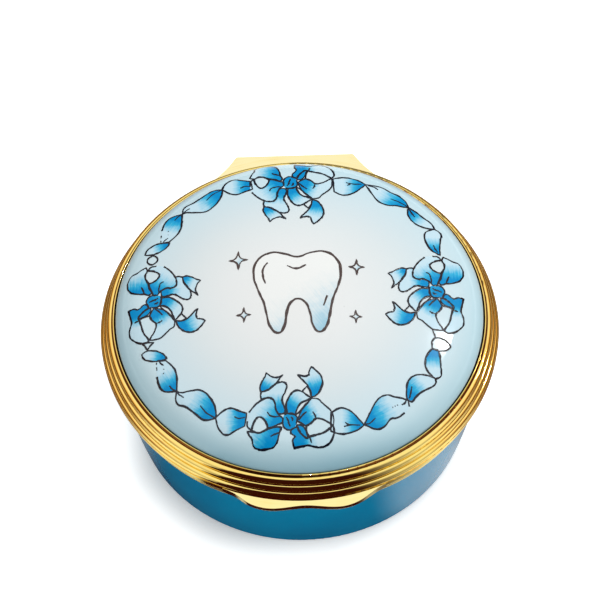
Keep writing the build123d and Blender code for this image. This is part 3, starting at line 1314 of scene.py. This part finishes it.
    def drawing(self, name: str, small_lower: Patch, large_lower: Patch) -> PenAndWash:
        """Draws the whole bow.

        Args:
            name: the drawing's name.
            small_lower: the lower loop on the side of the smaller ones.
            large_lower: the lower loop on the side of the larger ones.

        Returns:
            The drawing.
        """
        knot = Patch(
            ((-50, 30), (-38, 55), (-5, 64), (35, 55), (57, 28), (52, -18), (28, -52), (-8, -64),
             (-42, -44), (-55, -5)),
            deep=(30, -30), pale=(-170, 200), unlined=(0, 5),
        )
        sides = [*self.small_side(small_lower), *self.top(), *self.large_side(large_lower)]
        return PenAndWash(name, [knot, *sides], self.folds(), unit=self.unit, seed=self.seed)

    def swung(self, drawing: PenAndWash, name: str) -> PenAndWash:
        """Gives a bow whose tails swing over to its larger loops.

        Args:
            drawing: the bow with straight tails.
            name: the new drawing's name.

        Returns:
            The drawing.
        """

        def moved(place: Spot) -> Spot:
            """Gives a place of the sheet after the swing."""
            share = min(max((place[1] - self.swing_from) / self.swing_height, 0.0), 1.0)
            return (place[0] + share * (self.swing + self.swing_spread * place[0]), place[1])

        patches = [replace(patch, outline=tuple(map(moved, patch.outline))) for patch in drawing.patches]
        lines = [tuple(map(moved, line)) for line in drawing.lines]
        return replace(drawing, name=name, patches=patches, lines=lines)


@dataclass
class RibbonGarland:
    """Four bows and the twisted ribbon that joins them, painted round the lid.

    A pod's fullness, where it has one, is how many times as full its outer side is.
    """

    painter: LidPainter
    bow: RibbonBow = RibbonBow()
    middle: Vector = field(default_factory=lambda: Vector((0.11 * MM, 0.13 * MM)))
    turned: float = -0.28
    stretched: float = 1.01
    fullness: dict[str, float] = field(
        default_factory=lambda: {"front_left_bud": 1.28, "front_left_leaf": 1.42}
    )

    def build(self) -> None:
        """Paints the bows and then the ribbon between them."""
        self.paint_bows()
        self.paint_ribbon()

    def spot(self, pinch: Pinch) -> Vector:
        """Gives the place on the lid of a pinch, on the garland as it is turned and stretched.

        Args:
            pinch: the pinch.

        Returns:
            The place in metres.
        """
        turn = math.radians(pinch.angle + self.turned)
        plan = Vector((math.cos(turn), math.sin(turn) * self.stretched)) * (pinch.reach * MM)
        return self.middle + plan

    def paint_bows(self) -> None:
        """Lays the bow at the back, front, left and right, turned over where the lid shows it so."""
        right = Vector((1.0, 0.0))
        away = Vector((0.0, 1.0))
        bow = self.bow
        plain = bow.drawing("ribbon_bow", bow.long_loop(), bow.long_sweep())
        back = Placement(self.spot(Pinch(15.42, 92.9)), right * 0.99, away * -1.11)
        self.painter.paint(plain, {"ribbon_bow_back": back})
        sides = {
            "ribbon_bow_left": Placement(self.spot(Pinch(15.93, 180.1)), away * -1.04, right * 0.95),
            "ribbon_bow_right": Placement(self.spot(Pinch(14.97, 0.9)), away * -1.05, right * -0.97),
        }
        self.painter.paint(bow.swung(plain, "side_bow"), sides)
        front = Placement(self.spot(Pinch(15.79, -95.05)), right * 0.99, away * 1.04)
        short = bow.drawing("front_bow", bow.short_loop(), bow.short_sweep())
        self.painter.paint(short, {"ribbon_bow_front": front})

    def paint_ribbon(self) -> None:
        """Lays the pods of the twisted ribbon between the bows."""
        filled = [
            ("back_left_bud", Pod.BUD, Pinch(17.1, 119.4), Pinch(16.2, 108.4)),
            ("back_left_leaf", Pod.LONG_LEAF, Pinch(17.4, 137.6), Pinch(17.1, 119.4)),
            ("back_left_hanging", Pod.HANGING, Pinch(16.7, 152.3), Pinch(17.4, 137.6)),
            ("back_left_petal", Pod.PETAL, Pinch(18.2, 158.9), Pinch(16.2, 151.6)),
            ("front_left_bud", Pod.BUD, Pinch(17.5, -122.0), Pinch(16.5, -111.6)),
            ("front_left_leaf", Pod.LONG_LEAF, Pinch(17.6, -139.7), Pinch(17.5, -122.0)),
            ("front_left_hanging", Pod.HANGING, Pinch(16.9, -153.6), Pinch(17.6, -139.7)),
            ("front_left_petal", Pod.PETAL, Pinch(18.4, -159.6), Pinch(16.3, -153.0)),
            ("back_right_heart", Pod.HEART, Pinch(15.5, 74.8), Pinch(16.9, 63.2)),
            ("back_right_sickle", Pod.SICKLE, Pinch(16.9, 63.2), Pinch(17.1, 43.8)),
            ("back_right_wing", Pod.WING, Pinch(17.1, 43.8), Pinch(17.5, 30.5)),
            ("back_right_drop", Pod.DROP, Pinch(17.5, 30.5), Pinch(16.4, 18.6)),
            ("front_right_heart", Pod.HEART, Pinch(16.2, -79.3), Pinch(17.4, -68.0)),
            ("front_right_billow", Pod.BILLOW, Pinch(17.4, -68.0), Pinch(17.4, -49.4)),
            ("front_right_fan", Pod.FAN, Pinch(17.4, -49.4), Pinch(17.8, -36.2)),
            ("front_right_strap", Pod.STRAP, Pinch(17.8, -36.2), Pinch(15.9, -26.4)),
        ]
        hollow = [
            ("wedge", Pod.WEDGE, Pinch(17.7, -160.2), Pinch(17.35, -162.8), 47),
            ("back_left_ring", Pod.RING, Pinch(17.15, 158.9), Pinch(17.0, 163.0), 40),
            ("front_right_loop", Pod.LOOP, Pinch(15.58, -24.9), Pinch(17.47, -22.3), 41),
        ]
        for number, (name, pod, first, last) in enumerate(filled):
            shape = pod.value.fuller(self.fullness.get(name, 1.0))
            self.paint_pod(f"ribbon_{name}", shape, (first, last), number)
        for name, pod, first, last, seed in hollow:
            self.paint_pod(f"ribbon_{name}", pod.value, (first, last), seed, hollow=True)

    def paint_pod(
        self,
        name: str,
        shape: PodShape,
        ends: tuple[Pinch, Pinch],
        seed: int,
        hollow: bool = False,
    ) -> None:
        """Lays one pod between two pinches.

        Args:
            name: its name.
            shape: its shape.
            ends: the pinch it starts from and the one it ends at.
            seed: what varies the pen.
            hollow: whether it is only an outline.
        """
        start, end = map(self.spot, ends)
        way = end - start
        drawing = shape.drawing(name, way.length / MM, seed)
        way.normalize()
        side = Vector((way.y, -way.x))
        if side.dot(start + end) < 0.0:
            side = side * -1.0
        if hollow:
            bare = drawing.patches[0]
            drawing.patches = [Patch(bare.outline, bare.corners)]
        self.painter.paint(drawing, {name: Placement(start, way, side)})


@dataclass
class ToothMotif:
    """A small milk tooth with sparkles round it, drawn in brown pen in the middle of the lid."""

    painter: LidPainter
    middle: Vector = field(default_factory=lambda: Vector((-0.1 * MM, 0.1 * MM)))
    tooth_pen: float = 0.13 * MM
    tooth_tremor: float = 0.02 * MM
    sparkle_pen: float = 0.08 * MM
    first_seed: int = 90

    def build(self) -> None:
        """Paints the tooth and its sparkles."""
        right_side = (
            (1.5, 4.9), (3.1, 5.0), (4.4, 3.9), (4.75, 2.1), (4.35, 0.2), (3.75, -1.5),
            (3.4, -3.3), (2.95, -4.9), (2.2, -5.5), (1.6, -4.8), (1.25, -3.0), (0.75, -1.7),
        )
        left_side = tuple((-x, y) for x, y in reversed(right_side))
        outline = ((0.0, 4.35), *right_side, (0.0, -1.25), *left_side)
        tooth = Patch(outline, deep=(4.6, -5.2), pale=(0.4, 1.2))
        folds = [
            ((-3.2, 3.7), (-3.7, 2.9), (-3.75, 1.9), (-3.5, 0.9)),
            ((-1.1, 3.2), (-0.1, 2.75), (1.0, 3.25)),
            ((3.2, -0.9), (2.75, -2.2)),
        ]
        drawing = PenAndWash("milk_tooth", [tooth], folds, pen=self.tooth_pen, tremor=self.tooth_tremor)
        drawing.seed = self.first_seed
        self.lay(drawing, Vector((0.0, 0.0)))
        sparkles = ((-6.4, 4.3, 1.25), (6.5, 2.9, 1.05), (6.2, -3.6, 0.8), (-5.9, -3.0, 0.95))
        for number, (x, y, size) in enumerate(sparkles, 1):
            drawing = PenAndWash(f"sparkle_{number}", [self.star(size)], pen=self.sparkle_pen)
            drawing.seed = self.first_seed + number
            self.lay(drawing, Vector((x, y)) * MM)

    def star(self, size: float) -> Patch:
        """Draws a sparkle with four points.

        Args:
            size: from its middle to a point, in millimetres.

        Returns:
            The patch.
        """
        waist = size * 0.22
        arm = size * 0.8
        slant = size * 0.6
        upper = ((0.0, size), (waist, waist), (arm, 0.0), (waist, -waist))
        lower = ((0.0, -size), (-waist, -waist), (-arm, 0.0), (-waist, waist))
        return Patch(upper + lower, corners=(0, 2, 4, 6), deep=(slant, -slant), pale=(-slant, slant))

    def lay(self, drawing: PenAndWash, off: Vector) -> None:
        """Lays one drawing upright on the lid, so far from its middle in metres."""
        where = Placement(self.middle + off, Vector((1.0, 0.0)), Vector((0.0, 1.0)))
        self.painter.paint(drawing, {drawing.name: where})


def arc(first: float, last: float) -> Spot:
    """Gives two angles in radians."""
    return (math.radians(first), math.radians(last))


@dataclass
class Studio:
    """The pale floor, the surrounding light, the lamps and the camera.

    An edge is given by its start and its end. Angles go round the box from the front, to the right
    counted up. Reaches are distances on the floor from the box's axis, and in the light around the
    heights of a direction go from 0 at the horizon to 1 overhead.
    """

    aim: Vector = field(default_factory=lambda: Vector((0.0, 0.0, 19.87 * MM)))
    elevation: float = math.radians(55.89)
    roll: float = math.radians(-1.66)
    distance: float = 0.35
    lens: float = 192.4
    sensor: float = 36.0
    seen: Spot = (0.01, 20.0)
    sideways: Spot = (0.0018, 0.0009)
    floor_size: float = 6.0
    floor_cells: int = 8
    floor_warmth: Colour = (0.97, 0.945, 0.9, 1.0)
    lift: float = 0.2
    far_lift: float = 0.55
    mirrored_lift: float = 0.3
    # painted shadow: where the floor's glow rises from weak near the box to full, reaching further out on
    # the front left side
    painted_shadow_edge: Spot = (16.6 * MM, 21.8 * MM)
    painted_shadow_side: tuple[Spot, Spot] = (arc(-84.0, -58.0), arc(-34.0, 4.0))
    painted_shadow_side_reach: float = 1.6 * MM
    # painted reflection: the floor shows this dark tone only to glossy rays, as dark cards near the box
    card_tone: Colour = (0.035, 0.006, 0.004, 1.0)
    near_card: tuple[Spot, Spot] = (arc(-90.0, -56.0), arc(24.0, 40.0))
    near_reach: tuple[Spot, Spot] = ((16.0 * MM, 17.0 * MM), (23.6 * MM, 24.4 * MM))
    far_card: tuple[Spot, Spot] = (arc(-43.0, -37.0), arc(22.0, 62.0))
    far_reach: Spot = (26.6 * MM, 28.4 * MM)
    # painted reflection: warm brown that only glossy rays see on the floor at the box's sides, standing
    # for shade and warm bounce light
    reflected_shade_tone: Colour = (0.2, 0.075, 0.02, 1.0)
    reflected_shade_share: float = 0.95
    reflected_shade_reach: Spot = (120.0 * MM, 320.0 * MM)
    flanks: tuple[Spot, Spot] = (arc(58.0, 85.0), arc(156.0, 176.0))
    left_edge: Spot = arc(-40.0, -10.0)
    foot_reach: Spot = (23.0 * MM, 29.0 * MM)
    foot_share: float = 0.7
    warm_air: Colour = (1.0, 0.52, 0.18, 1.0)
    around: float = 0.63
    low_level: float = 0.62
    high_level: float = 1.02
    climb: Spot = (0.38, 0.78)
    crown: Spot = (0.93, 0.985)
    crown_glow: float = 0.06
    side_loss: float = 0.46
    behind: Spot = arc(150.0, 176.0)
    behind_loss: float = 0.4
    card_top: Spot = (0.93, 0.995)
    warm_top: Spot = (0.55, 0.9)
    key_way: Vector = field(default_factory=lambda: Vector((0.426, 0.388, 0.817)))
    key_distance: float = 0.7
    key_size: Spot = (0.45, 0.45)
    key_power: float = 2.54
    spark_spot: Vector = field(default_factory=lambda: Vector((0.414, 0.395, 0.816)))
    spark_size: Spot = (0.012, 0.07)
    spark_power: float = 0.6
    spark_turn: float = math.radians(36.0)

    def build(self) -> None:
        """Makes the floor, the light and the camera."""
        self.lay_floor()
        self.light_around()
        self.hang_lamps()
        self.stand_camera()
        log.info("studio ready")

    def sides(self, sheet: ShaderSheet, angle: Wire) -> Wire:
        """Gives how far a direction lies to the left or right of the box, from 0 to 1."""
        return sheet.between(sheet.maths("ABSOLUTE", angle), *self.flanks)

    def angle_from_front(self, sheet: ShaderSheet, x: Wire, y: Wire) -> Wire:
        """Gives the angle round the box from the front, to the right counted up."""
        return sheet.maths("ARCTAN2", x, y * -1.0)

    def glow(self, sheet: ShaderSheet, tone: Colour) -> Node:
        """Adds an even glow of a tone as it is written."""
        return sheet.node("ShaderNodeEmission", None, {"Color": tone, "Strength": 1.0})

    def lay_floor(self) -> None:
        """Lays a white floor that keeps the shadow, with a painted shadow round the box's foot that
        reaches further out at the front left, and dark and warm-brown patches that only reflections see.
        """
        bpy.ops.object.select_all(action="DESELECT")
        cells = self.floor_cells
        bpy.ops.mesh.primitive_grid_add(x_subdivisions=cells, y_subdivisions=cells, size=self.floor_size)
        floor = bpy.context.object
        floor.name = "studio_floor"
        made = bpy.data.materials.new("studio_floor_white")
        made.use_nodes = True
        sheet = ShaderSheet(made.node_tree)
        x, y, _ = sheet.split(sheet.place())
        reach = sheet.reach(x, y)
        angle = self.angle_from_front(sheet, x, y)
        rays = sheet.node("ShaderNodeLightPath")
        mirror = sheet.wire(rays, "Is Glossy Ray")
        through = sheet.wire(rays, "Is Transmission Ray")
        reflected = sheet.maths("MAXIMUM", mirror * self.mirrored_lift, through)
        shown = sheet.maths("MAXIMUM", sheet.wire(rays, "Is Camera Ray"), reflected)
        # painted shadow: the floor's glow is weaker close to the box and further out on the front left,
        # so the floor there stays darker
        painted_shadow_side = sheet.between(angle, *self.painted_shadow_side)
        clear = sheet.smooth(reach - painted_shadow_side * self.painted_shadow_side_reach, *self.painted_shadow_edge)
        strength = shown * (self.lift + clear * self.far_lift)
        lifted = sheet.node("ShaderNodeEmission", None, {"Strength": strength})
        plain = sheet.node("ShaderNodeBsdfDiffuse", None, {"Color": self.floor_warmth})
        whole = sheet.node("ShaderNodeAddShader", None, {0: plain.outputs[0], 1: lifted.outputs[0]})
        # painted reflection: dark cards on the floor that only glossy rays see, near the front of the box
        # and further out
        near = sheet.between(angle, *self.near_card) * sheet.between(reach, *self.near_reach)
        far = sheet.between(angle, *self.far_card) * sheet.smooth(reach, *self.far_reach)
        carded = sheet.mixed((near + far) * mirror, whole, self.glow(sheet, self.card_tone))
        # painted reflection: warm brown at the sides for glossy rays, lessened at the front left near the
        # foot
        foot = sheet.sink(angle, *self.left_edge) * sheet.sink(reach, *self.foot_reach)
        close = sheet.sink(reach, *self.reflected_shade_reach) * (1.0 - foot * self.foot_share)
        reflected_shade = self.sides(sheet, angle) * close * mirror * self.reflected_shade_share
        shaded = sheet.mixed(reflected_shade, carded, self.glow(sheet, self.reflected_shade_tone))
        sheet.node("ShaderNodeOutputMaterial", None, {"Surface": shaded.outputs[0]})
        floor.data.materials.append(made)

    def light_around(self) -> None:
        """Sets the soft light from all round, with a dark card in front of the box."""
        world = bpy.data.worlds.new("studio_light")
        bpy.context.scene.world = world
        world.use_nodes = True
        sheet = ShaderSheet(world.node_tree)
        way = sheet.wire(sheet.node("ShaderNodeTexCoord"), "Generated")
        x, y, z = sheet.split(way)
        angle = self.angle_from_front(sheet, x, y)
        rays = sheet.node("ShaderNodeLightPath")
        glossy = sheet.wire(rays, "Is Glossy Ray")
        mirrored = sheet.maths("MAXIMUM", glossy, sheet.wire(rays, "Is Transmission Ray"))
        side = self.sides(sheet, angle)
        glow = sheet.smooth(z, *self.crown) * self.crown_glow
        behind = sheet.smooth(sheet.maths("ABSOLUTE", angle), *self.behind)
        low_level = self.low_level - side * self.side_loss - behind * self.behind_loss
        above = low_level + (self.high_level - low_level) * sheet.smooth(z, *self.climb) + glow
        level = self.around + mirrored * (above - self.around)
        strength = sheet.maths("MAXIMUM", level, sheet.wire(rays, "Is Camera Ray"))
        sunk = sheet.sink(z, *self.warm_top) * mirrored * side
        air = sheet.blend(sunk, (1.0, 1.0, 1.0, 1.0), self.warm_air)
        open_air = sheet.node("ShaderNodeBackground", None, {"Color": air, "Strength": strength})
        dark_card = sheet.node("ShaderNodeBackground", None, {"Color": self.card_tone})
        card = sheet.between(angle, *self.far_card) * sheet.sink(z, *self.card_top) * mirrored
        backdrop = sheet.mixed(card, open_air, dark_card)
        sheet.node("ShaderNodeOutputWorld", None, {"Surface": backdrop.outputs[0]})

    def hang_lamps(self) -> None:
        """Hangs the broad key lamp at the back right and a small bright one for the spark."""
        key_spot = self.key_way.normalized() * self.key_distance
        key = self.lamp("key_lamp", key_spot, self.key_size, self.key_power)
        key.visible_glossy = False
        spark_size, turn = self.spark_size, self.spark_turn
        spark = self.lamp("spark_lamp", self.spark_spot, spark_size, self.spark_power, turn)
        spark.visible_diffuse = False

    def lamp(self, name: str, spot: Vector, size: Spot, power: float, turn: float = 0.0) -> Piece:
        """Hangs one area lamp that looks at the box.

        Args:
            name: its name.
            spot: where it hangs.
            size: its width and depth in metres.
            power: its power in watts.
            turn: how far it is turned about its beam, in radians.

        Returns:
            The lamp.
        """
        data = bpy.data.lights.new(name, "AREA")
        data.shape = "RECTANGLE"
        data.size, data.size_y = size
        data.energy = power
        made = bpy.data.objects.new(name, data)
        bpy.context.scene.collection.objects.link(made)
        made.location = spot
        straight = (-spot).to_track_quat("-Z", "Y")
        made.rotation_euler = (straight @ Quaternion((0.0, 0.0, 1.0), turn)).to_euler()
        made.visible_camera = False
        return made

    def stand_camera(self) -> None:
        """Stands the camera where the photograph was taken from."""
        data = bpy.data.cameras.new("camera")
        data.sensor_width = self.sensor
        data.lens = self.lens
        data.clip_start, data.clip_end = self.seen
        data.shift_x, data.shift_y = self.sideways
        back = Vector((0.0, -math.cos(self.elevation), math.sin(self.elevation)))
        made = bpy.data.objects.new("camera", data)
        bpy.context.scene.collection.objects.link(made)
        made.location = self.aim + back * self.distance
        level = (-back).to_track_quat("-Z", "Y")
        made.rotation_euler = (level @ Quaternion((0.0, 0.0, 1.0), self.roll)).to_euler()
        bpy.context.scene.camera = made


@dataclass
class DressedFrame:
    """The solids that keep their own shape, and the finish that each takes."""

    gilt: Finish = GiltFinish("gilt_brass")
    lid_ring: Finish = LidRingFinish("lid_ring_gilt")
    # painted highlight: the lip and the hinge plate wear paler copies of the gilt, standing for the
    # bright top light that their flat faces catch
    lip: Finish = GiltFinish("lip_lit_gilt", paint(255, 236, 164), paint(250, 221, 134))
    plate: Finish = GiltFinish("top_lit_gilt", paint(255, 240, 184), paint(250, 226, 150))
    pin: Finish = GiltFinish("hinge_brass", paint(236, 200, 110), paint(196, 148, 66), gloss=0.2)
    copper: Finish = CopperFinish("copper")
    white: Finish = EnamelFinish("white_enamel")
    bowl: Finish = EnamelFinish(
        "bowl_enamel",
        tone=paint(0, 143, 190),
        cloud=paint(0, 133, 180),
        speck=paint(6, 60, 90),
        shine=0.42,
        shine_tint=paint(110, 226, 255),
    )
    lid: Finish = LidEnamelFinish("lid_enamel")

    def build(self) -> None:
        """Gives every solid its finish and reports it."""
        finishes = {
            "base_copper_cup": self.copper,
            "lid_copper_dome": self.copper,
            "base_outer_enamel": self.bowl,
            "lid_outer_enamel": self.lid,
            "base_inner_enamel": self.white,
            "base_underside_enamel": self.white,
            "lid_inner_enamel": self.white,
            "hinge_pin": self.pin,
            "lid_mount_ring": self.lid_ring,
            "lid_hinge_lug": self.plate,
            "thumb_lip": self.lip,
        }
        for name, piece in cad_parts.items():
            finish = finishes.get(name, self.gilt)
            finish.dress(piece)
            log.info("%s wears %s", name, finish.name)


def main() -> None:
    """Builds the studio and the box in order."""
    logging.basicConfig(level=logging.INFO, format="%(name)s: %(message)s")
    bpy.context.scene.view_settings.view_transform = "Standard"
    Studio().build()
    DressedFrame().build()
    RibbonGarland(LidPainter()).build()
    tooth_painter = LidPainter(
        wash_finish=RibbonFinish(
            "tooth_wash",
            pale=paint(240, 242, 240),
            light=paint(232, 238, 238),
            middling=paint(206, 226, 234),
            deep=paint(164, 206, 224),
            gloss=0.14,
        ),
        ink_finish=InkFinish("brown_pen", full=paint(70, 56, 54), washed=paint(104, 90, 86), gloss=0.16),
    )
    ToothMotif(tooth_painter).build()
    bpy.context.view_layer.update()


if __name__ == "__main__":
    main()
